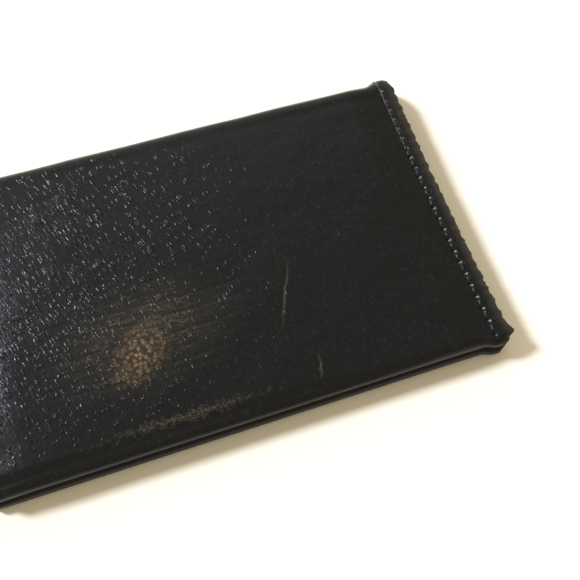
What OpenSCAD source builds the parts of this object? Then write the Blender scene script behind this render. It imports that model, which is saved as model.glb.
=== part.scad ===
// Bifold card holder in turned hide. One strip of hide makes both covers, the rolled spine
// between them and, turned in at each near fold, the two outer pockets. A board and a lining
// stiffen each cover, and a card panel lies in front of the lining. Welts, thin strips of hide
// in the seams, hold the layers a card's thickness apart. The short edges are sewn and pinked
// through every layer. It is drawn shut, lying on its back cover: X runs along the spine, Y from
// the near folds to the spine, Z up.

/* [Overall] */
// Length along the spine, from tooth tip to tooth tip
holder_length = 115; // [95:0.5:140]
// Depth of the front half, from its near fold to the outside of the spine
cover_depth = 74; // [61:0.5:92]
// How far the back half's near fold stands out beyond the front half's
back_lip = 0.7; // [0:0.1:2]
// Gap between the two halves when the holder is shut
shut_gap = 0.25; // [0.2:0.05:1]

/* [Layers] */
// Thickness of the hide
hide_t = 0.8; // [0.65:0.05:1.2]
// Thickness of the turned-in flap, skived thinner than the hide
flap_t = 0.6; // [0.5:0.05:1]
// Thickness of the card panel
panel_t = 0.35; // [0.25:0.05:0.8]
// Thickness of the stiffening board
board_t = 0.3; // [0.2:0.05:0.8]
// Thickness of the woven lining
lining_t = 0.15; // [0.1:0.05:0.3]

/* [Pockets] */
// Room left in each card slot, for one plastic card 0.76 thick
card_ease = 0.8; // [0.8:0.05:1.5]
// Height of the card panel's top edge above the near fold
panel_height = 52; // [42:0.5:54]
// Height of the turned pocket's top edge above the near fold
pocket_height = 40; // [30:0.5:41]
// Margin between the board and the near fold, and between the board and the spine
board_margin = 4.6; // [3.5:0.1:8]

/* [Seams] */
// Distance between pinked teeth
tooth_pitch = 3; // [2:0.1:4]
// Depth of a pinked tooth
tooth_depth = 0.5; // [0.3:0.05:1]
// Distance between needle holes, which are spread to fit a whole number of stitches
stitch_pitch = 3; // [2:0.1:4]
// Distance from the bottoms of the teeth to the needle holes
stitch_inset = 3; // [1.5:0.1:4]
// How far the welts reach in past the needle holes
welt_margin = 1.4; // [0.6:0.1:3]
// Thickness of the sewing thread
thread_t = 0.3; // [0.2:0.05:0.35]
// Width of the groove that the thread lies in
groove_w = 0.5; // [0.45:0.05:0.9]

/* [Hidden] */
$fn = 96;
BACK = 0;
FRONT = 1;
LEFT = -1;
RIGHT = 1;

// Heights in one half, counted from the outer face of its cover
lining_z = hide_t + board_t;
panel_z = lining_z + lining_t + card_ease;
flap_z = panel_z + panel_t + card_ease;
half_t = flap_z + flap_t;
total_t = 2 * half_t + shut_gap;

// The near fold is a half round over the whole thickness of a half
fold_r = half_t / 2;
// The spine is a half round over the whole thickness of the shut holder
spine_r = total_t / 2;
total_depth = cover_depth + back_lip;
spine_y = total_depth / 2 - spine_r;
near_y = [-total_depth / 2, total_depth / 2 - cover_depth];
// Where the flat part of each half ends and the spine's roll starts, from its near fold
flat_end = [spine_y - near_y[BACK], spine_y - near_y[FRONT]];

// The spine turns in two creases, each this far round its roll from the middle
crease_angle = 45;
// Gap at a crease, between the spine panel and the bend beside it
crease_gap = 0.05;

half_length = holder_length / 2;
valley_x = half_length - tooth_depth;
seam_x = valley_x - stitch_inset;
welt_x = seam_x - welt_margin;

// How far a stitch sinks at its needle holes
thread_dip = 0.1;
groove_depth = thread_t + thread_dip;
hole_w = thread_t + 0.06;
// Needle holes start just past the near fold
first_hole = fold_r + thread_t;
// How much of its eighth of a turn each stitch on the spine covers
arc_stitch_share = 0.8;
arc_stitch = arc_stitch_share * crease_angle;
// How far a cutting shape reaches past what it cuts
cut = 0.1;

// Half width of a pinked layer at a distance y from its near fold; a tooth tip lies at y = 0
function edge_x(y) =
    let (share = y / tooth_pitch - floor(y / tooth_pitch))
    half_length - tooth_depth * (1 - abs(2 * share - 1));

// Tooth tips and valleys that lie between two distances from the near fold
function tooth_corners(y0, y1) = [
    for (i = [floor(2 * y0 / tooth_pitch) + 1 : ceil(2 * y1 / tooth_pitch) - 1]) i * tooth_pitch / 2
];

// Outline from y0 to y1 of a layer pinked along both short edges
function pinked_outline(y0, y1) =
    let (ys = concat([y0], tooth_corners(y0, y1), [y1]), last = len(ys) - 1)
    concat(
        [for (y = ys) [edge_x(y), y]],
        [for (i = [last : -1 : 0]) [-edge_x(ys[i]), ys[i]]]
    );

// Stitches in the flat part of a seam, and the distance of needle hole i from the near fold
function last_hole(half) = flat_end[half] - hole_w;
function stitch_count(half) = round((last_hole(half) - first_hole) / stitch_pitch);
function hole_y(half, i) = first_hole + i * (last_hole(half) - first_hole) / stitch_count(half);

// Height of the underside of stitch i on the inner face: in the pocket's groove, or on what lies below it
function inner_z(half, i) =
    hole_y(half, i) < pocket_height ? half_t - thread_t
        : hole_y(half, i) < panel_height ? panel_z + panel_t
        : lining_z + lining_t;
function inner_dip(half, i) = hole_y(half, i) < pocket_height ? thread_dip : 0;

// Puts what is drawn in a half's own frame in its place; the front half lies face down on the back one
module in_half(half) {
    if (half == BACK)
        translate([0, near_y[BACK], 0]) children();
    else
        translate([0, near_y[FRONT], total_t]) mirror([0, 0, 1]) children();
}

// The needle holes that lie between y0 and y1, through a whole half
module needle_holes(half, y0, y1) {
    for (side = [LEFT, RIGHT], i = [0 : stitch_count(half)])
        if (hole_y(half, i) + hole_w > y0 && hole_y(half, i) - hole_w < y1)
            translate([side * seam_x - hole_w / 2, hole_y(half, i) - hole_w / 2, -cut])
                cube([hole_w, hole_w, half_t + 2 * cut]);
}

// A layer of a half, from y0 to y1 and from z0 up by t, pinked and pierced at both short edges
module layer(half, y0, y1, z0, t) {
    difference() {
        translate([0, 0, z0]) linear_extrude(t) polygon(pinked_outline(y0, y1));
        needle_holes(half, y0, y1);
    }
}

// The two grooves for the seams, from z0 up by groove_depth
module seam_grooves(y0, y1, z0) {
    for (side = [LEFT, RIGHT])
        translate([side * seam_x - groove_w / 2, y0 - cut, z0])
            cube([groove_w, y1 - y0 + 2 * cut, groove_depth + cut]);
}

// A strip bent round an axis along X; angles are counted from +Y towards +Z
module bent_strip(r_out, t, half_width, from_angle, to_angle) {
    rotate([90, 0, 90]) rotate([0, 0, from_angle])
        rotate_extrude(angle = to_angle - from_angle)
            translate([r_out - t, -half_width]) square([t, 2 * half_width]);
}

module cover(half) {
    color("#232325") in_half(half) difference() {
        layer(half, fold_r, flat_end[half], 0, hide_t);
        seam_grooves(fold_r, flat_end[half], -cut);
    }
}

// The near fold is two quarter turns of the hide, one next to the cover and one next to the pocket
module cover_turn(half) {
    color("#232325") in_half(half) translate([0, fold_r, fold_r])
        bent_strip(fold_r, hide_t, valley_x, 180, 270);
}

module pocket_turn(half) {
    color("#232325") in_half(half) translate([0, fold_r, fold_r])
        bent_strip(fold_r, hide_t, valley_x, 90, 180);
}

module pocket(half) {
    color("#2b2a2b") in_half(half) difference() {
        layer(half, fold_r, pocket_height, flap_z, flap_t);
        seam_grooves(fold_r, pocket_height, half_t - groove_depth);
    }
}

module card_panel(half) {
    color("#2e2c2c") in_half(half) layer(half, fold_r, panel_height, panel_z, panel_t);
}

module lining(half) {
    color("#1c1b1d") in_half(half) layer(half, fold_r, flat_end[half], lining_z, lining_t);
}

module board(half) {
    color("#8f8068") in_half(half)
        layer(half, board_margin, flat_end[half] - board_margin, hide_t, board_t);
}

// A strip of hide in a seam that fills the room for a card, from the near fold up to y1
module welt(half, side, y1, z0) {
    color("#262526") in_half(half) intersection() {
        layer(half, fold_r, y1, z0, card_ease);
        translate([side > 0 ? welt_x : -half_length - cut, 0, z0 - cut])
            cube([half_length + cut - welt_x, y1 + cut, card_ease + 2 * cut]);
    }
}

module panel_welt(half, side) {
    welt(half, side, panel_height, panel_z - card_ease);
}

module pocket_welt(half, side) {
    welt(half, side, pocket_height, flap_z - card_ease);
}

// The grooves for the seams round the spine, over a quarter turn each side of an angle
module spine_grooves(middle) {
    for (side = [LEFT, RIGHT])
        translate([side * seam_x, 0, 0])
            bent_strip(spine_r + cut, groove_depth + cut, groove_w / 2, middle - 90, middle + 90);
}

// The two legs of a stitch on the spine, w thick and running out from r0 to r1
module spine_legs(middle, w, r0, r1) {
    for (end = [-1, 1])
        rotate([middle + end * arc_stitch / 2, 0, 0])
            translate([-w / 2, r0, -w / 2]) cube([w, r1 - r0, w]);
}

module spine_needle_holes(middle) {
    for (side = [LEFT, RIGHT])
        translate([side * seam_x, 0, 0])
            spine_legs(middle, hole_w, spine_r - hide_t - lining_t - cut, spine_r + cut);
}

// Angle of the middle of the stitch on a bend, and of each stitch on the spine panel
bend_middle = [-1.5 * crease_angle, 1.5 * crease_angle];
panel_middle = [-crease_angle / 2, crease_angle / 2];

// The part of the spine's roll between a cover and its crease
module spine_bend(half) {
    start = crease_angle + asin(crease_gap / spine_r);
    color("#232325") translate([0, spine_y, spine_r]) difference() {
        if (half == BACK)
            bent_strip(spine_r, hide_t, valley_x, -90, -start);
        else
            bent_strip(spine_r, hide_t, valley_x, start, 90);
        spine_grooves(bend_middle[half]);
        spine_needle_holes(bend_middle[half]);
    }
}

module spine_panel() {
    color("#232325") translate([0, spine_y, spine_r]) difference() {
        bent_strip(spine_r, hide_t, valley_x, -crease_angle, crease_angle);
        spine_grooves(0);
        for (middle = panel_middle) spine_needle_holes(middle);
    }
}

module spine_lining() {
    color("#1c1b1d") translate([0, spine_y, spine_r]) difference() {
        bent_strip(spine_r - hide_t, lining_t, valley_x, -crease_angle, crease_angle);
        for (middle = panel_middle) spine_needle_holes(middle);
    }
}

// One stitch round the spine: a bent bar in the groove with a leg through the hide at each end
module spine_stitch(middle) {
    bent_strip(spine_r, thread_t, thread_t / 2, middle - arc_stitch / 2, middle + arc_stitch / 2);
    spine_legs(middle, thread_t, spine_r - hide_t - lining_t, spine_r - thread_t / 2);
}

// Side view of one stitch from hole i to the next, its underside at z, and lower by dip at both ends
module stitch(half, i, z, dip) {
    y0 = hole_y(half, i) - thread_t / 2;
    y1 = hole_y(half, i + 1) + thread_t / 2;
    underside = [
        [y0, z - dip], [y0 + thread_t, z - dip], [y0 + 2 * thread_t, z],
        [y1 - 2 * thread_t, z], [y1 - thread_t, z - dip], [y1, z - dip]
    ];
    last = len(underside) - 1;
    polygon(concat(underside, [for (j = [last : -1 : 0]) underside[j] + [0, thread_t]]));
}

// A lock-stitched seam: stitches on both faces of a half, joined by a leg in each needle hole
module seam(half, side) {
    last = stitch_count(half);
    color("#17171a") in_half(half)
        translate([side * seam_x - thread_t / 2, 0, 0])
            rotate([90, 0, 90]) linear_extrude(thread_t) {
                for (i = [0 : last - 1]) {
                    stitch(half, i, 0, -thread_dip);
                    stitch(half, i, inner_z(half, i), inner_dip(half, i));
                }
                for (i = [0 : last])
                    translate([hole_y(half, i) - thread_t / 2, thread_dip])
                        square([thread_t, inner_z(half, max(i - 1, 0)) - thread_dip]);
            }
    color("#17171a") translate([side * seam_x, spine_y, spine_r])
        spine_stitch(bend_middle[half]);
}

module spine_seam(side) {
    color("#17171a") translate([side * seam_x, spine_y, spine_r])
        for (middle = panel_middle) spine_stitch(middle);
}

cover(BACK);  // back_cover
cover_turn(BACK);  // back_cover_turn
pocket_turn(BACK);  // back_pocket_turn
pocket(BACK);  // back_pocket
card_panel(BACK);  // back_card_panel
lining(BACK);  // back_lining
board(BACK);  // back_board
panel_welt(BACK, LEFT);  // back_left_panel_welt
panel_welt(BACK, RIGHT);  // back_right_panel_welt
pocket_welt(BACK, LEFT);  // back_left_pocket_welt
pocket_welt(BACK, RIGHT);  // back_right_pocket_welt
spine_bend(BACK);  // back_spine_bend
seam(BACK, LEFT);  // back_left_seam
seam(BACK, RIGHT);  // back_right_seam
cover(FRONT);  // front_cover
cover_turn(FRONT);  // front_cover_turn
pocket_turn(FRONT);  // front_pocket_turn
pocket(FRONT);  // front_pocket
card_panel(FRONT);  // front_card_panel
lining(FRONT);  // front_lining
board(FRONT);  // front_board
panel_welt(FRONT, LEFT);  // front_left_panel_welt
panel_welt(FRONT, RIGHT);  // front_right_panel_welt
pocket_welt(FRONT, LEFT);  // front_left_pocket_welt
pocket_welt(FRONT, RIGHT);  // front_right_pocket_welt
spine_bend(FRONT);  // front_spine_bend
seam(FRONT, LEFT);  // front_left_seam
seam(FRONT, RIGHT);  // front_right_seam
spine_panel();
spine_lining();
spine_seam(LEFT);  // spine_left_seam
spine_seam(RIGHT);  // spine_right_seam
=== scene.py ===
# A bifold card holder in black turned hide, lying shut on its back cover.
# Units are metres. X runs along the spine, Y from the near folds to the spine, Z up.
import math

import bpy
from mathutils import Matrix, Vector, noise


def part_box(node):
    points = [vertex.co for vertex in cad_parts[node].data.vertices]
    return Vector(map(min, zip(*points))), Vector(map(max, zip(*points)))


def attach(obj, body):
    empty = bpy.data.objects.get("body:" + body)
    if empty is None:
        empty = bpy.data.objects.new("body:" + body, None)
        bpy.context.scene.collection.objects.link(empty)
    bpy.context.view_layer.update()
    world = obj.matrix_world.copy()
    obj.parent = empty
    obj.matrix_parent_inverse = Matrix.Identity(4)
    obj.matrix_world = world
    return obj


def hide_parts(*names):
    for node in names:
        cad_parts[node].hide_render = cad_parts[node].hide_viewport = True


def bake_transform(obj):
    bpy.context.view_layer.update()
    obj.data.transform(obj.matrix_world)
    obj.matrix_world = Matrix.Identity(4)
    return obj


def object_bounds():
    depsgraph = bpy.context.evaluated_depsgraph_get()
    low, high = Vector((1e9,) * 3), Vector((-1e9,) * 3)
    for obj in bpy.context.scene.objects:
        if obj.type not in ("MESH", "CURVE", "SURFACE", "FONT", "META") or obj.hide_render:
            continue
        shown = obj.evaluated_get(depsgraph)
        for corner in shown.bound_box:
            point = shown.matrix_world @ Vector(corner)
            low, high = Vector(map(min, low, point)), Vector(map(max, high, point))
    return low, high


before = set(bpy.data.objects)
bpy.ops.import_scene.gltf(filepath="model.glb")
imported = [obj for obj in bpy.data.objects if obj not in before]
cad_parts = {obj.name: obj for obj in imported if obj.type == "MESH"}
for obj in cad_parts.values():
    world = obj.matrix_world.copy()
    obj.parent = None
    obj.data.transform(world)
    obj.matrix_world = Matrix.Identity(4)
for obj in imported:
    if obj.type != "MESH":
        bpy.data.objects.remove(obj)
cad_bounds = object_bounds()
MM = 0.001


# ---------------------------------------------------------------- Camera, light and table
# The holder is seen from above its near side, a little to the left, with its left end out of view.
# A low window lies to the left and a little to the far side. The room and the table are warm, and
# the sunlit table is brighter than white.
length = cad_bounds[1].x - cad_bounds[0].x
shut_t = cad_bounds[1].z
far_right_corner = Vector((length / 2, cad_bounds[1].y, shut_t - 0.55 * MM))
sight = Vector((0.13748, 0.35787, -0.92359))
camera_up = Vector((0.27813, 0.88098, 0.38276))

camera = bpy.data.objects.new("camera", bpy.data.cameras.new("camera"))
bpy.context.scene.collection.objects.link(camera)
camera.data.lens = 38.48
camera.data.clip_start = 0.005
camera_side = sight.cross(camera_up).normalized()
camera.matrix_world = Matrix.Translation(far_right_corner + Vector((-61.56, -98.14, 125.93)) * MM) @ Matrix(
    (camera_side, camera_side.cross(sight), -sight)
).transposed().to_4x4()
bpy.context.scene.camera = camera


def linear(hex_colour):
    """The linear RGBA of an sRGB hex colour."""
    parts = [int(hex_colour[i : i + 2], 16) / 255 for i in (1, 3, 5)]
    return [c / 12.92 if c <= 0.04045 else ((c + 0.055) / 1.055) ** 2.4 for c in parts] + [1.0]


def add_node(tree, kind, sockets=None, **settings):
    """Adds a node with its settings. A socket is given a value, or another node or its output."""
    made = tree.nodes.new(kind)
    for name, value in settings.items():
        setattr(made, name, value)
    for name, value in (sockets or {}).items():
        if isinstance(value, bpy.types.Node):
            value = value.outputs[0]
        if isinstance(value, bpy.types.NodeSocket):
            tree.links.new(value, made.inputs[name])
        else:
            made.inputs[name].default_value = value
    return made


def new_tree(owner):
    """The empty node tree of a new material or world."""
    owner.use_nodes = True
    owner.node_tree.nodes.clear()
    return owner.node_tree


def add_sun(name, towards, energy, spread, colour):
    """A far light that shines from a direction, and looks spread degrees wide."""
    sun = bpy.data.objects.new(name, bpy.data.lights.new(name, "SUN"))
    bpy.context.scene.collection.objects.link(sun)
    sun.rotation_euler = Vector(towards).to_track_quat("Z", "Y").to_euler()
    sun.data.energy = energy
    sun.data.angle = math.radians(spread)
    sun.data.color = linear(colour)[:3]


add_sun("window_light", (-8.3, 5.2, 7.6), energy=4.1, spread=12, colour="#f1f5ff")
add_sun("sky_light", (-1.0, 7.0, 5.0), energy=0.45, spread=60, colour="#f0f4ff")

room = bpy.data.worlds.new("warm_room")
bpy.context.scene.world = room
tree = new_tree(room)
walls = add_node(tree, "ShaderNodeBackground", {"Color": linear("#fdeccb"), "Strength": 0.56})
add_node(tree, "ShaderNodeOutputWorld", {"Surface": walls})
bpy.context.scene.view_settings.view_transform = "Standard"

bpy.ops.object.select_all(action="DESELECT")
bpy.ops.mesh.primitive_plane_add(size=3, location=(0, 0, 0))
table = bpy.context.object
table.name = "table"
cream = bpy.data.materials.new("matt_cream_table")
tree = new_tree(cream)
matt = add_node(tree, "ShaderNodeBsdfPrincipled", {"Base Color": linear("#fcf8ec"), "Roughness": 0.9})
add_node(tree, "ShaderNodeOutputMaterial", {"Surface": matt})
table.data.materials.append(cream)


# ---------------------------------------------------------------- Hide
# Goat hide, dyed black and thinly finished, so its grain shows. One strip makes both covers and the
# spine, and is turned in at both near folds for the pockets. It is made here as two, which meet in
# the middle of the spine. Shears have pinked both short edges through every layer.
HALVES = ("back", "front")
SIDES = {"left": -1, "right": 1}
cover_low, cover_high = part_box("front_cover")
turn_low, turn_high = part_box("front_cover_turn")
pocket_low, pocket_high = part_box("front_pocket")
seam_low, seam_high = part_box("front_right_seam")

near_y = {half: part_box(half + "_cover_turn")[0].y for half in HALVES}
spine_y = cover_high.y
flat_end = {half: spine_y - near_y[half] for half in HALVES}
hide_t = cover_high.z - cover_low.z
flap_t = pocket_high.z - pocket_low.z
half_t = shut_t - pocket_low.z
fold_r = turn_high.y - turn_low.y
spine_r = shut_t / 2
half_length = length / 2
seam_x = (seam_low.x + seam_high.x) / 2
pocket_height = pocket_high.y - near_y["front"]

# Distance along the hide from a near fold to the middle of the spine, which a whole number of
# teeth fills. Needle holes run from the near fold to the end of the flat, with two on the spine.
reach = {half: flat_end[half] + math.pi / 2 * spine_r for half in HALVES}
tooth_pitch = {half: reach[half] / round(reach[half] / (3.05 * MM)) for half in HALVES}
tooth_depth = 0.34 * MM
stitch_pitch = 3 * MM
first_hole = fold_r + 0.3 * MM
hole_w = 0.36 * MM
holes = {}
for half in HALVES:
    run = flat_end[half] - hole_w - first_hole
    stitches = round(run / stitch_pitch)
    holes[half] = [first_hole + i * run / stitches for i in range(stitches + 1)]
    holes[half] += [flat_end[half] + math.pi / 4 * spine_r, reach[half]]

# What sewing and handling have done to the square shape: the seams and the near folds are pressed
# thin, the ends are drawn in at the middle, and the ends of the spine are pushed outwards. The left
# end is handled less, so it is pressed less, and only the right corner of the near fold is bent.
seam_pinch = {"left": 0.2 * MM, "right": 0.45 * MM}
pinch_reach = 9 * MM
near_pinch = 0.3 * MM
near_slope = 2.4 * MM
end_bow = 0.65 * MM
spine_flare = 1.2 * MM
near_flare = 0.8 * MM
flare_reach = 6.5 * MM
flare_start = 2.5 * MM
corner_round = 1.8 * MM

# The edge of the board shows through as a line along the near fold, and nears the fold to the right
board_line_left = 4.6 * MM
board_line_drift = 2.4 * MM

# The cut edge: how far it frays, how far both corners are worn back, and how far the right tip of
# the near fold stands out
fray = 0.32 * MM
near_wear = 2.1 * MM
spine_wear = 0.8 * MM
tip_out = 1.1 * MM

# The mouths of the pockets and of the card panels are creased with a hot iron, a little in from the
# edge. The crease, the bend beside the spine, the stitching channel, the needle holes and the growth
# wrinkles sink into the outer face, and slow waves and puckers run over it.
crease_inset = 1.6 * MM
crease_depth = 0.12 * MM
bend_depth = 0.12 * MM
channel_depth = 0.16 * MM
hole_depth = 0.7 * MM
wrinkle_depth = 0.07 * MM
wave_height = 0.16 * MM
pucker_height = 0.05 * MM


def ease(value):
    """Goes smoothly from 0 to 1 as value does."""
    value = min(1.0, max(0.0, value))
    return value * value * (3 - 2 * value)


def ridge(distance, width):
    """A smooth ridge, 1 at its top and falling away over its width to each side."""
    return math.exp(-((distance / width) ** 2))


def along(half, y, z):
    """Distance along the hide from its near fold, which is negative past the fold, on the pocket."""
    if y > flat_end[half]:
        return flat_end[half] + spine_r * math.atan2(y - flat_end[half], spine_r - z)
    if y < fold_r:
        return fold_r - fold_r * math.atan2(fold_r - y, fold_r - z)
    return y if z < half_t / 2 else 2 * fold_r - math.pi * fold_r - y


def edge_x(half, side, cut):
    """Half length of the layers where the shears passed: no two teeth are quite alike, the corners
    are worn back, and the right one of the near fold has a pointed tip."""
    tooth = cut / tooth_pitch[half]
    depth = tooth_depth * (0.8 + 0.6 * noise.noise(Vector((0.37 + 0.73 * math.floor(tooth), 2.1, 0))))
    frayed = fray * noise.noise(Vector((cut / (0.7 * MM), 5.3, 0)))
    worn_back = near_wear * (1 - ease(cut / (1.5 * MM)))
    worn_back += spine_wear * ease((cut - flat_end[half] + 1.0 * MM) / (reach[half] - flat_end[half]))
    tip = tip_out * ridge(cut - 1.6 * MM, 1.0 * MM) if side == "right" else 0
    return half_length - depth * (1 - abs(2 * (tooth % 1) - 1)) - frayed - worn_back + tip


def pink(half, x, y, z):
    """Where x goes when the layers outside the seam are cut to the pinked edge."""
    outside = abs(x) - seam_x
    if outside <= 0:
        return x
    cut = along(half, y, z) if y > flat_end[half] else y
    edge = edge_x(half, "right" if x > 0 else "left", cut)
    return math.copysign(seam_x + outside * (edge - seam_x) / (half_length - seam_x), x)


def board_line(x):
    """Distance from the near fold of the line where the cover starts to fall to the fold."""
    return board_line_left - board_line_drift * ease((x + 10 * MM) / (60 * MM))


def press(x, y):
    """How much thinner a half is at a place than its layers are together."""
    seam = seam_pinch["right" if x > 0 else "left"] * ease((abs(x) - seam_x + pinch_reach) / pinch_reach)
    past_board = (board_line(x) - (y - near_y["front"])) / near_slope
    return seam + near_pinch * ease(past_board)


def settle(piece, half):
    """Takes a piece drawn in a half's own frame, with z counted inwards, to its pressed place."""
    for vertex in piece.data.vertices:
        x, y, z = vertex.co
        past_spine = ease((y - flat_end[half] + flare_start) / (spine_r + flare_start))
        at_end = ease((abs(x) - half_length + flare_reach) / (0.5 * flare_reach))
        at_end -= 0.6 * ease((abs(x) - half_length + corner_round) / corner_round)
        near_fold = 1 - ease(y / flare_reach) if x > 0 else 0
        across = 2 * y / (flat_end[half] + spine_r) - 1
        y += near_y[half]
        pinch = press(x, y)
        z *= 1 - pinch / spine_r
        if half == "front":
            z = shut_t - 2 * pinch - z
        x -= math.copysign(end_bow * (1 - across * across) * ease(abs(x) / half_length), x)
        vertex.co = (x, y + (spine_flare * past_spine - near_flare * near_fold) * at_end, z)
    if half == "front":
        piece.data.flip_normals()
    piece.data.update()


def choose(piece, test):
    """In edit mode, selects only the edges whose two ends pass the test."""
    bpy.ops.mesh.select_mode(type="EDGE")
    bpy.ops.mesh.select_all(action="DESELECT")
    bpy.ops.object.mode_set(mode="OBJECT")
    points = [vertex.co for vertex in piece.data.vertices]
    for edge in piece.data.edges:
        edge.select = all(test(points[i]) for i in edge.vertices)
    bpy.ops.object.mode_set(mode="EDIT")


# Where the columns of a layer stand near a seam, in mm from the end: close across the channel
SEAM_COLUMNS = (0.35, 1.0, 1.8, 2.6, 3.05, 3.3, 3.5, 3.7, 3.95, 4.4, 6, 8)


def start_layer(name, half, y0, y1, z, columns=24, rows=6):
    """Starts a flat layer in a half's own frame, and leaves it in edit mode. It has rows to each
    tooth, and close columns at both seams."""
    row = tooth_pitch[half] / rows
    first, last = math.ceil(y0 / row + 0.1), math.floor(y1 / row - 0.1)
    bpy.ops.object.select_all(action="DESELECT")
    bpy.ops.mesh.primitive_grid_add(size=1, x_subdivisions=columns, y_subdivisions=last - first)
    piece = bpy.context.object
    piece.name = piece.data.name = name
    bpy.ops.object.mode_set(mode="EDIT")
    bpy.ops.transform.resize(value=(length, (last - first) * row, 1))
    bpy.ops.transform.translate(value=(0, (first + last) * row / 2, z))
    for side in SIDES.values():
        for inset in SEAM_COLUMNS:
            bpy.ops.mesh.select_all(action="SELECT")
            bpy.ops.mesh.bisect(plane_co=(side * (half_length - inset * MM), 0, 0), plane_no=(1, 0, 0))
    choose(piece, lambda p: p.y > last * row - 0.01 * MM)
    bpy.ops.mesh.extrude_region_move(TRANSFORM_OT_translate={"value": (0, y1 - last * row, 0)})
    choose(piece, lambda p: p.y < first * row + 0.01 * MM)
    bpy.ops.mesh.extrude_region_move(TRANSFORM_OT_translate={"value": (0, y0 - first * row, 0)})
    return piece


def spin_over_spine(piece, half, steps=18):
    """Carries the far edge of a layer round the roll of the spine to its middle."""
    choose(piece, lambda p: p.y > flat_end[half] - 0.01 * MM)
    bpy.ops.mesh.spin(steps=steps, angle=-math.pi / 2, center=(0, flat_end[half], spine_r), axis=(1, 0, 0))


def face_outwards(piece):
    """Closes the mesh's doubles, leaves edit mode, and turns all its faces away from the inside."""
    bpy.ops.mesh.select_all(action="SELECT")
    bpy.ops.mesh.remove_doubles(threshold=0.02 * MM)
    bpy.ops.mesh.normals_make_consistent(inside=False)
    bpy.ops.object.mode_set(mode="OBJECT")
    lowest = min(piece.data.polygons, key=lambda face: face.center.z)
    if lowest.normal.z > 0:
        piece.data.flip_normals()


def lay_flat_map(piece, half):
    """Gives the piece a UV map of where each point lay before folding: along the spine, and from
    the front's near fold over the spine to the back's, in metres."""
    flat = piece.data.uv_layers[0] if piece.data.uv_layers else piece.data.uv_layers.new()
    flat.name = "laid_flat"
    for loop in piece.data.loops:
        x, y, z = piece.data.vertices[loop.vertex_index].co
        s = along(half, y, z)
        flat.data[loop.index].uv = (x, s if half == "front" else reach["front"] + reach["back"] - s)


def add_modifier(piece, kind, **settings):
    """Adds a modifier with its settings, and applies it."""
    bpy.ops.object.select_all(action="DESELECT")
    piece.select_set(True)
    bpy.context.view_layer.objects.active = piece
    made = piece.modifiers.new(kind.lower(), kind)
    for name, value in settings.items():
        setattr(made, name, value)
    bpy.ops.object.modifier_apply(modifier=made.name)


def smooth(piece):
    """Shades smooth, and keeps the edges that are sharper than 50 degrees."""
    bpy.ops.object.select_all(action="DESELECT")
    piece.select_set(True)
    bpy.context.view_layer.objects.active = piece
    bpy.ops.object.shade_smooth_by_angle(angle=math.radians(50))


# Growth wrinkles of the front cover: distance from the near fold, and how deep each is
WRINKLES = ((14.6, 0.5), (16.4, 0.9), (19.2, 0.6), (22.4, 1.0), (26.6, 1.0), (30.2, 0.7), (35.5, 0.5))


def relief(half, x, s):
    """How far the outer face sinks at x, s: in the crease of the pocket, beside the spine, in the
    stitching channel, at the needle holes, in the wrinkles, and in the slow waves of worn hide."""
    if s < -fold_r:
        from_edge = s + math.pi * fold_r - 2 * fold_r + pocket_height
        return crease_depth * ridge(from_edge - crease_inset, 0.3 * MM)
    sink = bend_depth * ridge(s - flat_end[half] + 1.5 * MM, 1.8 * MM)
    off_seam = abs(x) - seam_x
    if abs(off_seam) < 2.2 * MM:
        nearest = min(abs(s - hole) for hole in holes[half])
        sink += channel_depth * ridge(off_seam, 0.6 * MM)
        sink += hole_depth * ridge(off_seam + 0.05 * MM, 0.42 * MM) * ridge(nearest, 0.55 * MM)
    if half == "front" and s < 40 * MM:
        sway = 0.9 * MM * noise.noise(Vector((x / (9 * MM), s / (9 * MM), 3.1)))
        bend = 1.6 * MM * ((x + 14 * MM) / (26 * MM)) ** 2
        for place, deep in WRINKLES:
            to_left = ease((x + 44 * MM) / (14 * MM))
            to_right = ease((7 * MM + 0.15 * MM * place - x) / (13 * MM))
            off_wrinkle = s - place * MM - bend - sway
            sink += wrinkle_depth * deep * to_left * to_right * ridge(off_wrinkle, 0.42 * MM)
    from_spine = reach[half] - s
    sink += wave_height * noise.noise(Vector((x / (15 * MM), from_spine / (10 * MM), 7.7)))
    sink += pucker_height * noise.noise(Vector((x / (5 * MM), from_spine / (3.5 * MM), 1.2)))
    return sink * ease((s + 0.5 * fold_r) / (1.5 * fold_r))


def spot(tree, place, x, y, wide, deep, turn=0.0):
    """From 1 at x, y to 0 at the edge of an ellipse round it, all in millimetres."""
    centred = add_node(
        tree,
        "ShaderNodeMapping",
        {
            "Vector": place,
            "Location": (x, y, 0),
            "Rotation": (0, 0, math.radians(turn)),
            "Scale": (wide, deep, 1000),
        },
        vector_type="TEXTURE",
    )
    return add_node(tree, "ShaderNodeTexGradient", {"Vector": centred}, gradient_type="SPHERICAL")


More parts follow.
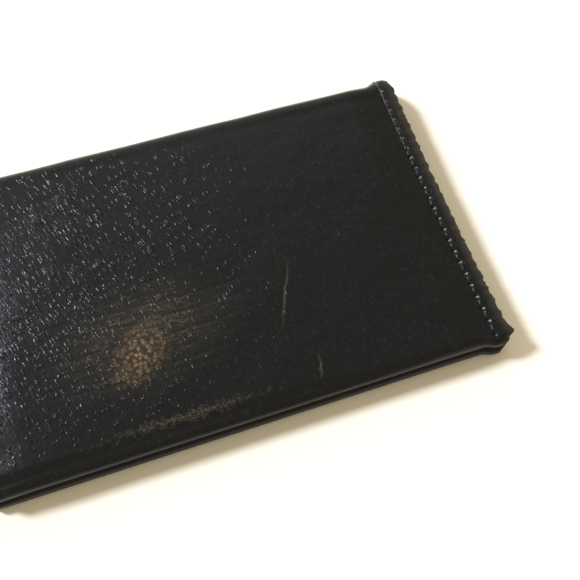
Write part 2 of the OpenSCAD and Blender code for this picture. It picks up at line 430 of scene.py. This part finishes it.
def pebbled_hide():
    """Goat leather, dyed and thinly finished. Its pebbles are 0.55 mm by 2.5 mm and lean, they
    catch small lights, and they fade out to the right and to the near side. The finish has worn to olive
    and then to tan where a card's edge presses, and along the edge of the board."""
    made = bpy.data.materials.new("pebbled_black_goat_hide")
    tree = new_tree(made)
    flat = add_node(tree, "ShaderNodeUVMap", uv_map="laid_flat")
    place = add_node(tree, "ShaderNodeMapping", {"Vector": flat, "Scale": (1000, 1000, 1000)})
    where = add_node(tree, "ShaderNodeSeparateXYZ", {"Vector": place})

    # Distance along the hide from the nearer near fold, so both covers are pebbled alike
    whole_run = (reach["front"] + reach["back"]) / MM
    from_fold = add_node(
        tree, "ShaderNodeMath", {0: where.outputs[1], 1: whole_run / 2}, operation="PINGPONG"
    )

    # Nothing grown is straight, so the pattern wanders by a fraction of a millimetre
    bent = place
    for scale, stray_by in ((0.3, 1.0), (1.1, 0.55)):
        stray = add_node(tree, "ShaderNodeTexNoise", {"Vector": place, "Scale": scale, "Detail": 2.0})
        bent = add_node(
            tree,
            "ShaderNodeMixRGB",
            {"Fac": stray_by, "Color1": bent, "Color2": stray.outputs["Color"]},
            blend_type="ADD",
        )

    # Where the pebbles are coarse: over the left and the spine side, in patches
    patchy = add_node(tree, "ShaderNodeTexNoise", {"Vector": place, "Scale": 0.09, "Detail": 3.0})
    to_left = add_node(
        tree,
        "ShaderNodeMapRange",
        {"Value": where.outputs[0], "From Min": 22.0, "From Max": -32.0},
        interpolation_type="SMOOTHSTEP",
    )
    to_spine = add_node(
        tree,
        "ShaderNodeMapRange",
        {"Value": from_fold, "From Min": 22.0, "From Max": 42.0, "To Min": 0.35},
        interpolation_type="SMOOTHSTEP",
    )
    coarse = add_node(tree, "ShaderNodeMath", {0: to_left, 1: to_spine}, operation="MULTIPLY")
    patches = add_node(
        tree, "ShaderNodeMapRange", {"Value": patchy, "From Min": 0.3, "From Max": 0.6, "To Min": 0.35}
    )
    coarse = add_node(tree, "ShaderNodeMath", {0: coarse, 1: patches}, operation="MULTIPLY")
    coarse = add_node(tree, "ShaderNodeMath", {0: coarse, 1: 0.74, 2: 0.26}, operation="MULTIPLY_ADD")
    off_fold = add_node(
        tree, "ShaderNodeMapRange", {"Value": from_fold, "From Min": 3.5, "From Max": 7.0, "To Min": 0.1}
    )
    coarse = add_node(tree, "ShaderNodeMath", {0: coarse, 1: off_fold}, operation="MULTIPLY")
    off_spine = add_node(
        tree,
        "ShaderNodeMapRange",
        {"Value": from_fold, "From Min": 64.0, "From Max": 71.0, "To Min": 1.0, "To Max": 0.3},
    )
    coarse = add_node(tree, "ShaderNodeMath", {0: coarse, 1: off_spine}, operation="MULTIPLY")

    # Long pebbles that lean, each with its own height, so only some catch the light
    lean = add_node(
        tree,
        "ShaderNodeMapping",
        {"Vector": bent, "Rotation": (0, 0, math.radians(27)), "Scale": (0.55, 2.5, 1)},
        vector_type="TEXTURE",
    )
    pebble = add_node(
        tree, "ShaderNodeTexVoronoi", {"Vector": lean, "Scale": 1.0}, feature="F1", voronoi_dimensions="2D"
    )
    dome = add_node(
        tree,
        "ShaderNodeMapRange",
        {
            "Value": pebble.outputs["Distance"],
            "From Min": 0.05,
            "From Max": 0.5,
            "To Min": 1.0,
            "To Max": 0.0,
        },
        interpolation_type="SMOOTHSTEP",
    )
    proud = add_node(
        tree, "ShaderNodeMapRange", {"Value": pebble.outputs["Color"], "From Min": 0.46, "From Max": 0.84}
    )
    pebbles = add_node(tree, "ShaderNodeMath", {0: dome, 1: proud}, operation="MULTIPLY")
    creases = add_node(
        tree, "ShaderNodeTexNoise", {"Vector": lean, "Scale": 1.3, "Detail": 4.0, "Roughness": 0.6}
    )
    pebbles = add_node(tree, "ShaderNodeMath", {0: creases, 1: 0.4, 2: pebbles}, operation="MULTIPLY_ADD")
    pebbles = add_node(tree, "ShaderNodeMath", {0: pebbles, 1: coarse}, operation="MULTIPLY")

    # Single round pores, about 1.7 mm apart, and grain of about 0.4 mm all over
    pore = add_node(
        tree, "ShaderNodeTexVoronoi", {"Vector": bent, "Scale": 0.6}, feature="F1", voronoi_dimensions="2D"
    )
    dot = add_node(
        tree,
        "ShaderNodeMapRange",
        {"Value": pore.outputs["Distance"], "From Min": 0.05, "From Max": 0.24, "To Min": 1.0, "To Max": 0.0},
        interpolation_type="SMOOTHSTEP",
    )
    some = add_node(
        tree, "ShaderNodeMapRange", {"Value": pore.outputs["Color"], "From Min": 0.58, "From Max": 0.72}
    )
    dots = add_node(tree, "ShaderNodeMath", {0: dot, 1: some}, operation="MULTIPLY")
    near_left = spot(tree, place, -48, 14, 50, 30)
    dots = add_node(tree, "ShaderNodeMath", {0: dots, 1: near_left}, operation="MULTIPLY")
    dots = add_node(tree, "ShaderNodeMath", {0: dots, 1: off_fold}, operation="MULTIPLY")
    fine = add_node(
        tree, "ShaderNodeTexNoise", {"Vector": place, "Scale": 2.5, "Detail": 5.0, "Roughness": 0.6}
    )

    # Fine growth lines along the spine, in the wrinkled part
    lines = add_node(tree, "ShaderNodeMapping", {"Vector": bent, "Scale": (0.16, 1.5, 1)})
    rows = add_node(tree, "ShaderNodeTexNoise", {"Vector": lines, "Scale": 1.0, "Detail": 4.0})
    wrinkled = spot(tree, place, -25, 25, 36, 20)
    growth = add_node(tree, "ShaderNodeMath", {0: rows, 1: wrinkled}, operation="MULTIPLY")

    # Two light scratches
    marks = None
    for x, y, turn, half_run in ((13.7, 24.5, -22.6, 9.4), (15.6, 6.5, -14.0, 3.6)):
        mark = spot(tree, bent, x + 0.5, y + 0.5, 0.42, half_run, turn)
        if marks is not None:
            mark = add_node(tree, "ShaderNodeMath", {0: marks, 1: mark}, operation="ADD")
        marks = mark

    # The flakes that the finish wears off in, and where it is rubbed beside the pinked edge
    flake = add_node(
        tree, "ShaderNodeTexNoise", {"Vector": bent, "Scale": 0.9, "Detail": 5.0, "Roughness": 0.72}
    )
    off_middle = add_node(tree, "ShaderNodeMath", {0: where.outputs[0]}, operation="ABSOLUTE")
    fringe = add_node(
        tree,
        "ShaderNodeMapRange",
        {"Value": off_middle, "From Min": half_length / MM - 2.2, "From Max": half_length / MM},
    )
    fringe = add_node(tree, "ShaderNodeMath", {0: fringe, 1: flake}, operation="MULTIPLY")

    # All of the relief, from the coarse to the fine
    high = add_node(tree, "ShaderNodeBump", {"Height": pebbles, "Distance": 0.24 * MM})
    dotted = add_node(tree, "ShaderNodeBump", {"Height": dots, "Distance": 0.24 * MM, "Normal": high})
    lined = add_node(tree, "ShaderNodeBump", {"Height": growth, "Distance": 0.14 * MM, "Normal": dotted})
    grained = add_node(tree, "ShaderNodeBump", {"Height": fine, "Distance": 0.024 * MM, "Normal": lined})
    frayed = add_node(tree, "ShaderNodeBump", {"Height": fringe, "Distance": 0.35 * MM, "Normal": grained})
    scored = add_node(
        tree, "ShaderNodeBump", {"Height": marks, "Distance": 0.1 * MM, "Normal": frayed}, invert=True
    )

    # Wear: brown in the worn patch, with tan on the tops of its cells, olive specks in rows round it,
    # and a rubbed line over the edge of the board
    cells = add_node(
        tree, "ShaderNodeTexVoronoi", {"Vector": bent, "Scale": 0.95}, feature="F1", voronoi_dimensions="2D"
    )
    cell_top = add_node(
        tree,
        "ShaderNodeMapRange",
        {
            "Value": cells.outputs["Distance"],
            "From Min": 0.12,
            "From Max": 0.62,
            "To Min": 1.0,
            "To Max": 0.0,
        },
        interpolation_type="SMOOTHSTEP",
    )
    patch = spot(tree, bent, -19.2, 21.0, 11.5, 7.8, 42)
    patch = add_node(tree, "ShaderNodeMath", {0: patch, 1: 1.7, 2: flake}, operation="MULTIPLY_ADD")
    patch = add_node(tree, "ShaderNodeMapRange", {"Value": patch, "From Min": 0.85, "From Max": 1.8})
    # Fine noise that chips the tan cell tops of the worn patch, and also breaks up the painted crease glints
    chipped_wear_and_glints = add_node(tree, "ShaderNodeMapRange", {"Value": fine, "From Min": 0.36, "From Max": 0.56})
    tops = add_node(tree, "ShaderNodeMath", {0: patch, 1: cell_top}, operation="MULTIPLY")
    tops = add_node(tree, "ShaderNodeMath", {0: tops, 1: chipped_wear_and_glints}, operation="MULTIPLY")
    halo = spot(tree, bent, -17.5, 25.5, 24, 15, 8)
    tint = add_node(tree, "ShaderNodeMath", {0: halo, 1: 0.22}, operation="MULTIPLY")
    in_rows = add_node(tree, "ShaderNodeMapRange", {"Value": rows, "From Min": 0.44, "From Max": 0.58})
    halo = add_node(tree, "ShaderNodeMath", {0: halo, 1: in_rows}, operation="MULTIPLY")
    rubbed = spot(tree, bent, -12.5, 5.3, 26, 2.0)
    rubbed = add_node(tree, "ShaderNodeMath", {0: rubbed, 1: 0.9}, operation="MULTIPLY")
    halo = add_node(tree, "ShaderNodeMath", {0: halo, 1: rubbed}, operation="MAXIMUM")
    specks = add_node(tree, "ShaderNodeMath", {0: halo, 1: 0.42, 2: flake}, operation="MULTIPLY_ADD")
    specks = add_node(tree, "ShaderNodeMapRange", {"Value": specks, "From Min": 0.64, "From Max": 0.86})
    speckled = add_node(tree, "ShaderNodeMapRange", {"Value": fine, "From Min": 0.44, "From Max": 0.58})
    specks = add_node(tree, "ShaderNodeMath", {0: specks, 1: speckled, 2: tint}, operation="MULTIPLY_ADD")
    specks = add_node(tree, "ShaderNodeMath", {0: marks, 1: 0.6, 2: specks}, operation="MULTIPLY_ADD")
    specks = add_node(
        tree, "ShaderNodeMath", {0: fringe, 1: 0.9, 2: specks}, operation="MULTIPLY_ADD", use_clamp=True
    )

    # Painted glints: the tops of the creases are painted lighter, standing in for the sky's reflection on
    # them; then the worn colours go over the black
    painted_crease_glints = add_node(tree, "ShaderNodeMapRange", {"Value": creases, "From Min": 0.54, "From Max": 0.72})
    painted_crease_glints = add_node(tree, "ShaderNodeMath", {0: painted_crease_glints, 1: chipped_wear_and_glints}, operation="MULTIPLY")
    # The lighter of these two colours is the painted glint on the crease tops
    black = add_node(
        tree, "ShaderNodeMixRGB", {"Fac": painted_crease_glints, "Color1": linear("#131415"), "Color2": linear("#292a2b")}
    )
    olive = add_node(tree, "ShaderNodeMixRGB", {"Fac": specks, "Color1": black, "Color2": linear("#4b4637")})
    brown = add_node(tree, "ShaderNodeMixRGB", {"Fac": patch, "Color1": olive, "Color2": linear("#2c1f10")})
    tan = add_node(
        tree,
        "ShaderNodeMixRGB",
        {"Fac": cells.outputs["Color"], "Color1": linear("#463421"), "Color2": linear("#8b7a5c")},
    )
    colour = add_node(tree, "ShaderNodeMixRGB", {"Fac": tops, "Color1": brown, "Color2": tan})
    worn = add_node(tree, "ShaderNodeMath", {0: specks, 1: patch}, operation="MAXIMUM")
    gloss = add_node(tree, "ShaderNodeMapRange", {"Value": worn, "To Min": 0.24, "To Max": 0.5})
    shader = add_node(
        tree,
        "ShaderNodeBsdfPrincipled",
        {"Base Color": colour, "Roughness": gloss, "IOR": 1.32, "Normal": scored},
    )
    shader.inputs["Specular Tint"].default_value = linear("#eef3fc")
    add_node(tree, "ShaderNodeOutputMaterial", {"Surface": shader})
    return made


def raw_hide():
    """The cut edge and the flesh side of dyed hide: fibrous and matt, with olive and brown left
    where the dye stops."""
    made = bpy.data.materials.new("raw_goat_hide")
    tree = new_tree(made)
    coords = add_node(tree, "ShaderNodeTexCoord")
    place = add_node(
        tree, "ShaderNodeMapping", {"Vector": coords.outputs["Object"], "Scale": (1000, 1000, 1000)}
    )
    fibre = add_node(
        tree, "ShaderNodeTexNoise", {"Vector": place, "Scale": 2.2, "Detail": 5.0, "Roughness": 0.7}
    )
    undyed = add_node(tree, "ShaderNodeTexNoise", {"Vector": place, "Scale": 0.5, "Detail": 2.0})
    spread = add_node(tree, "ShaderNodeMapRange", {"Value": undyed, "From Min": 0.4, "From Max": 0.62})
    hue = add_node(
        tree, "ShaderNodeMixRGB", {"Fac": fibre, "Color1": linear("#2c2a17"), "Color2": linear("#55463a")}
    )
    colour = add_node(tree, "ShaderNodeMixRGB", {"Fac": spread, "Color1": linear("#1a1816"), "Color2": hue})
    rough = add_node(tree, "ShaderNodeBump", {"Height": fibre, "Distance": 0.15 * MM})
    matt = add_node(
        tree, "ShaderNodeBsdfPrincipled", {"Base Color": colour, "Roughness": 0.85, "Normal": rough}
    )
    add_node(tree, "ShaderNodeOutputMaterial", {"Surface": matt})
    return made


goat_hide = pebbled_hide()
goat_flesh = raw_hide()

for half in HALVES:
    hide = start_layer(half + "_hide", half, fold_r, flat_end[half], 0, columns=96, rows=10)
    choose(hide, lambda p: p.y < fold_r + 0.01 * MM)
    bpy.ops.mesh.spin(steps=16, angle=math.pi, center=(0, fold_r, fold_r), axis=(1, 0, 0))
    flap_rows = round((pocket_height - fold_r) / (tooth_pitch[half] / 6))
    for row in range(flap_rows):
        step = (pocket_height - fold_r) / flap_rows
        bpy.ops.mesh.extrude_region_move(TRANSFORM_OT_translate={"value": (0, step, 0)})
    spin_over_spine(hide, half)
    face_outwards(hide)
    lay_flat_map(hide, half)

    # The flesh side stays even: the hide is thinner where its outer face sinks, and on the pocket
    skived = hide.vertex_groups.new(name="skived")
    shaped = []
    for vertex in hide.data.vertices:
        x, y, z = vertex.co
        s = along(half, y, z)
        sink = relief(half, x, s)
        left = 1 - (1 - flap_t / hide_t) * ease(-s / (2 * fold_r)) - sink / hide_t
        skived.add([vertex.index], min(1.0, max(0.1, left)), "REPLACE")
        shaped.append(Vector((pink(half, x, y, z), y, z)) - vertex.normal * sink)
    for vertex, place in zip(hide.data.vertices, shaped):
        vertex.co = place
    hide.data.materials.append(goat_hide)
    hide.data.materials.append(goat_flesh)
    add_modifier(
        hide,
        "SOLIDIFY",
        thickness=hide_t - 0.05 * MM,
        offset=-1,
        vertex_group="skived",
        material_offset=1,
        material_offset_rim=1,
    )
    settle(hide, half)
    smooth(hide)
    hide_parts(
        half + "_cover",
        half + "_cover_turn",
        half + "_pocket_turn",
        half + "_pocket",
        half + "_spine_bend",
        "spine_panel",
    )
    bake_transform(hide)


# ---------------------------------------------------------------- Boards
# A stiffening board lies between each cover and its lining. It is grey bookbinder's board, pressed
# from waste paper, glued in and sewn through at both ends.
def grey_board():
    """Bookbinder's board: matt grey-brown pulp with darker and lighter fibres in it."""
    made = bpy.data.materials.new("pressed_grey_board")
    tree = new_tree(made)
    coords = add_node(tree, "ShaderNodeTexCoord")
    place = add_node(
        tree, "ShaderNodeMapping", {"Vector": coords.outputs["Object"], "Scale": (1000, 1000, 1000)}
    )
    pulp = add_node(
        tree, "ShaderNodeTexNoise", {"Vector": place, "Scale": 1.4, "Detail": 6.0, "Roughness": 0.75}
    )
    colour = add_node(
        tree, "ShaderNodeMixRGB", {"Fac": pulp, "Color1": linear("#5f5545"), "Color2": linear("#a89a80")}
    )
    rough = add_node(tree, "ShaderNodeBump", {"Height": pulp, "Distance": 0.05 * MM})
    matt = add_node(
        tree, "ShaderNodeBsdfPrincipled", {"Base Color": colour, "Roughness": 0.9, "Normal": rough}
    )
    add_node(tree, "ShaderNodeOutputMaterial", {"Surface": matt})
    return made


def pink_all(piece, half):
    """Cuts both short edges of a layer with the shears."""
    for vertex in piece.data.vertices:
        vertex.co.x = pink(half, *vertex.co)


board_low, board_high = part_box("front_board")
board_t = board_high.z - board_low.z
board_near = board_low.y - near_y["front"]
board_far_margin = spine_y - board_high.y
pressed_board = grey_board()

for half in HALVES:
    board = start_layer(half + "_stiffener", half, board_near, flat_end[half] - board_far_margin, hide_t)
    face_outwards(board)
    pink_all(board, half)
    board.data.materials.append(pressed_board)
    add_modifier(board, "SOLIDIFY", thickness=board_t - 0.02 * MM, offset=-1)
    settle(board, half)
    smooth(board)
    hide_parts(half + "_board")
    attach(board, half + "_half")


# ---------------------------------------------------------------- Linings
# Each cover is lined with black faille, a corded rayon cloth, pasted over the board. Past the board
# it drops to the hide and goes round the inside of the spine, where the two halves meet.
def corded_cloth():
    """Rayon faille: a soft sheen over fine cords that run across the spine, with the crowns of the cords
    painted lighter as a painted sheen.
    The cords are 0.25 mm in the real cloth, and are drawn 0.6 mm wide so that they show."""
    made = bpy.data.materials.new("corded_black_faille")
    tree = new_tree(made)
    flat = add_node(tree, "ShaderNodeUVMap", uv_map="laid_flat")
    place = add_node(tree, "ShaderNodeMapping", {"Vector": flat, "Scale": (1000, 1000, 1000)})
    cords = add_node(
        tree,
        "ShaderNodeTexWave",
        {"Vector": place, "Scale": 2 * math.pi / 20 / 0.6, "Distortion": 0.25, "Detail": 2.0},
        bands_direction="X",
    )
    yarn = add_node(tree, "ShaderNodeMapping", {"Vector": place, "Scale": (1, 6, 1)})
    slub = add_node(tree, "ShaderNodeTexNoise", {"Vector": yarn, "Scale": 1.1, "Detail": 4.0})
    cord_height_and_sheen = add_node(tree, "ShaderNodeMath", {0: cords, 1: slub}, operation="MULTIPLY")
    # Painted sheen: the black cloth is painted lighter on the crowns of its cords
    colour = add_node(
        tree, "ShaderNodeMixRGB", {"Fac": cord_height_and_sheen, "Color1": linear("#0f0f11"), "Color2": linear("#2a292b")}
    )
    ribs = add_node(tree, "ShaderNodeBump", {"Height": cord_height_and_sheen, "Distance": 0.12 * MM})
    shader = add_node(
        tree,
        "ShaderNodeBsdfPrincipled",
        {
            "Base Color": colour,
            "Roughness": 0.55,
            "Sheen Weight": 0.25,
            "Sheen Roughness": 0.4,
            "Normal": ribs,
        },
    )
    add_node(tree, "ShaderNodeOutputMaterial", {"Surface": shader})
    return made


lining_low, lining_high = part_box("front_lining")
lining_t = lining_high.z - lining_low.z
faille = corded_cloth()

for half in HALVES:
    lining = start_layer(half + "_faille", half, fold_r, flat_end[half], hide_t, columns=30)
    spin_over_spine(lining, half, steps=12)
    face_outwards(lining)
    lay_flat_map(lining, half)
    pink_all(lining, half)
    far_edge = flat_end[half] - board_far_margin
    for vertex in lining.data.vertices:
        if vertex.co.y < flat_end[half]:
            over_board = ease((vertex.co.y - board_near + 1.5 * MM) / (1.5 * MM))
            over_board *= ease((far_edge + 2 * MM - vertex.co.y) / (2 * MM))
            vertex.co.z += board_t * over_board
    lining.data.materials.append(faille)
    add_modifier(lining, "SOLIDIFY", thickness=lining_t - 0.02 * MM, offset=-1)
    settle(lining, half)
    smooth(lining)
    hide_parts(half + "_lining", "spine_lining")
    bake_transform(lining)


# ---------------------------------------------------------------- Card panels
# In front of each lining stands a panel of thin calf, which makes the inner card slot with it. Its
# top edge is cut, dyed and creased with a hot iron, and its ends are caught in the seams.
def smooth_calf():
    """Thin calf leather, dyed black and plated: close grain of 0.5 mm and a low even gloss."""
    made = bpy.data.materials.new("plated_black_calf")
    tree = new_tree(made)
    flat = add_node(tree, "ShaderNodeUVMap", uv_map="laid_flat")
    place = add_node(tree, "ShaderNodeMapping", {"Vector": flat, "Scale": (1000, 1000, 1000)})
    grain = add_node(
        tree,
        "ShaderNodeTexVoronoi",
        {"Vector": place, "Scale": 2.0},
        feature="SMOOTH_F1",
        voronoi_dimensions="2D",
    )
    cloudy = add_node(tree, "ShaderNodeTexNoise", {"Vector": place, "Scale": 0.12, "Detail": 3.0})
    colour = add_node(
        tree, "ShaderNodeMixRGB", {"Fac": cloudy, "Color1": linear("#121213"), "Color2": linear("#1f1e1e")}
    )
    gloss = add_node(tree, "ShaderNodeMapRange", {"Value": cloudy, "To Min": 0.36, "To Max": 0.52})
    pitted = add_node(tree, "ShaderNodeBump", {"Height": grain.outputs["Distance"], "Distance": 0.06 * MM})
    shader = add_node(
        tree,
        "ShaderNodeBsdfPrincipled",
        {"Base Color": colour, "Roughness": gloss, "IOR": 1.42, "Normal": pitted},
    )
    add_node(tree, "ShaderNodeOutputMaterial", {"Surface": shader})
    return made


panel_low, panel_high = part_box("front_card_panel")
panel_height = panel_high.y - near_y["front"]
panel_t = panel_high.z - panel_low.z
panel_z = shut_t - panel_high.z
calf = smooth_calf()

for half in HALVES:
    panel = start_layer(half + "_calf_panel", half, fold_r, panel_height, panel_z, columns=30)
    face_outwards(panel)
    lay_flat_map(panel, half)
    pink_all(panel, half)
    panel.data.materials.append(calf)
    panel.data.materials.append(goat_flesh)
    add_modifier(panel, "SOLIDIFY", thickness=panel_t - 0.02 * MM, offset=-1, material_offset_rim=1)
    for vertex in panel.data.vertices:
        x, y, z = vertex.co
        belly = ease((seam_x - abs(x)) / (30 * MM)) * ease(y / panel_height)
        vertex.co.z -= 0.25 * MM * belly
        if z > panel_z + panel_t / 2:
            vertex.co.z -= 0.12 * MM * ridge(y - panel_height + crease_inset, 0.4 * MM)
    settle(panel, half)
    smooth(panel)
    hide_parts(half + "_card_panel")
    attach(panel, half + "_half")


# ---------------------------------------------------------------- Welts
# Strips of hide in the seams keep the layers a card's thickness apart. One stands behind the panel
# and one behind the pocket at each end, glued and then sewn and pinked with the rest.
welt_low, welt_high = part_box("front_right_panel_welt")
welt_x = welt_low.x
welt_t = welt_high.z - welt_low.z
WELTS = {
    "panel": (shut_t - welt_high.z, panel_height),
    "pocket": (shut_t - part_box("front_right_pocket_welt")[1].z, pocket_height),
}

for half in HALVES:
    for side, way in SIDES.items():
        for behind, (welt_z, top_y) in WELTS.items():
            welt = start_layer(f"{half}_{side}_{behind}_strip", half, fold_r, top_y, welt_z)
            bpy.ops.mesh.select_all(action="SELECT")
            bpy.ops.mesh.bisect(
                plane_co=(way * welt_x, 0, 0), plane_no=(way, 0, 0), clear_inner=True, clear_outer=False
            )
            face_outwards(welt)
            pink_all(welt, half)
            welt.data.materials.append(goat_flesh)
            add_modifier(welt, "SOLIDIFY", thickness=welt_t - 0.02 * MM, offset=-1)
            settle(welt, half)
            smooth(welt)
            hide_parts(f"{half}_{side}_{behind}_welt")
            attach(welt, half + "_half")


# ---------------------------------------------------------------- Threads
# Each seam is lock-stitched in twisted black polyester, through every layer and on round the spine.
# One thread shows outside and one inside, and they cross in the needle holes. Each stitch leans.
def twisted_polyester():
    """Sewing thread: two plies of black polyester, twisted with a 0.5 mm lay, with a low lustre. The crowns
    of the plies are painted lighter, as a painted sheen.
    """
    made = bpy.data.materials.new("twisted_black_polyester")
    tree = new_tree(made)
    coords = add_node(tree, "ShaderNodeTexCoord")
    place = add_node(
        tree,
        "ShaderNodeMapping",
        {
            "Vector": coords.outputs["Object"],
            "Rotation": (0, 0, math.radians(35)),
            "Scale": (1000, 1000, 1000),
        },
    )
    plies = add_node(
        tree,
        "ShaderNodeTexWave",
        {"Vector": place, "Scale": 2 * math.pi / 20 / 0.5, "Distortion": 0.4},
        bands_direction="Y",
    )
    # Painted sheen: the black thread is painted lighter on the crowns of its plies
    colour = add_node(
        tree, "ShaderNodeMixRGB", {"Fac": plies, "Color1": linear("#141416"), "Color2": linear("#4a4a4e")}
    )
    lay = add_node(tree, "ShaderNodeBump", {"Height": plies, "Distance": 0.06 * MM})
    shader = add_node(
        tree,
        "ShaderNodeBsdfPrincipled",
        {"Base Color": colour, "Roughness": 0.34, "Normal": lay},
    )
    add_node(tree, "ShaderNodeOutputMaterial", {"Surface": shader})
    return made


thread_r = 0.24 * MM
stitch_lean = 0.2 * MM

# How deep a thread dives in its holes, how steeply, and in how many steps each stitch is drawn
deepest = 1.4 * MM
steep = 2.1 * MM
STEPS = 12
polyester = twisted_polyester()


def inner_face(half, s):
    """Depth of the innermost layer below the outer face, at a distance s along the hide."""
    if s < pocket_height:
        return half_t
    if s < panel_height:
        return panel_z + panel_t
    over_board = board_t if s < flat_end[half] - board_far_margin else 0
    return hide_t + lining_t + over_board


def stitch_run(half, way, inside):
    """Points down one thread of a seam. It shows half-way between two holes, and dives at both."""
    points = []
    for hole, following in zip(holes[half], holes[half][1:]):
        shown = inner_face(half, hole) + 0.1 * MM if inside else -0.03 * MM
        if inside:
            hidden = max(0.35 * MM, shown - deepest)
        else:
            hidden = min(inner_face(half, hole) - 0.3 * MM, deepest)
        for step in range(STEPS):
            share = step / STEPS
            dive = min(1.0, steep / abs(hidden - shown) * abs(2 * share - 1) ** 1.3)
            depth = shown + (hidden - shown) * dive
            s = hole + share * (following - hole)
            x = way * seam_x + stitch_lean * (2 * share - 1) * (1 - dive)
            turn = max(0.0, (s - flat_end[half]) / spine_r)
            y = min(s, flat_end[half]) + (spine_r - depth) * math.sin(turn)
            points.append((x, y, spine_r - (spine_r - depth) * math.cos(turn), 1))
    return points


for half in HALVES:
    for side, way in SIDES.items():
        route = bpy.data.curves.new(f"{half}_{side}_thread", "CURVE")
        route.dimensions = "3D"
        route.bevel_depth = thread_r
        route.bevel_resolution = 2
        route.use_fill_caps = True
        for inside in (False, True):
            points = stitch_run(half, way, inside)
            spline = route.splines.new("POLY")
            spline.points.add(len(points) - 1)
            for point, place in zip(spline.points, points):
                point.co = place
        thread = bpy.data.objects.new(route.name, route)
        bpy.context.scene.collection.objects.link(thread)
        bpy.ops.object.select_all(action="DESELECT")
        thread.select_set(True)
        bpy.context.view_layer.objects.active = thread
        bpy.ops.object.convert(target="MESH")
        thread = bpy.context.object
        bpy.ops.object.mode_set(mode="EDIT")
        bpy.ops.mesh.select_all(action="SELECT")
        bpy.ops.mesh.normals_make_consistent(inside=False)
        bpy.ops.object.mode_set(mode="OBJECT")
        thread.data.materials.append(polyester)
        settle(thread, half)
        smooth(thread)
        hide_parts(f"{half}_{side}_seam", f"spine_{side}_seam")
        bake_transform(thread)
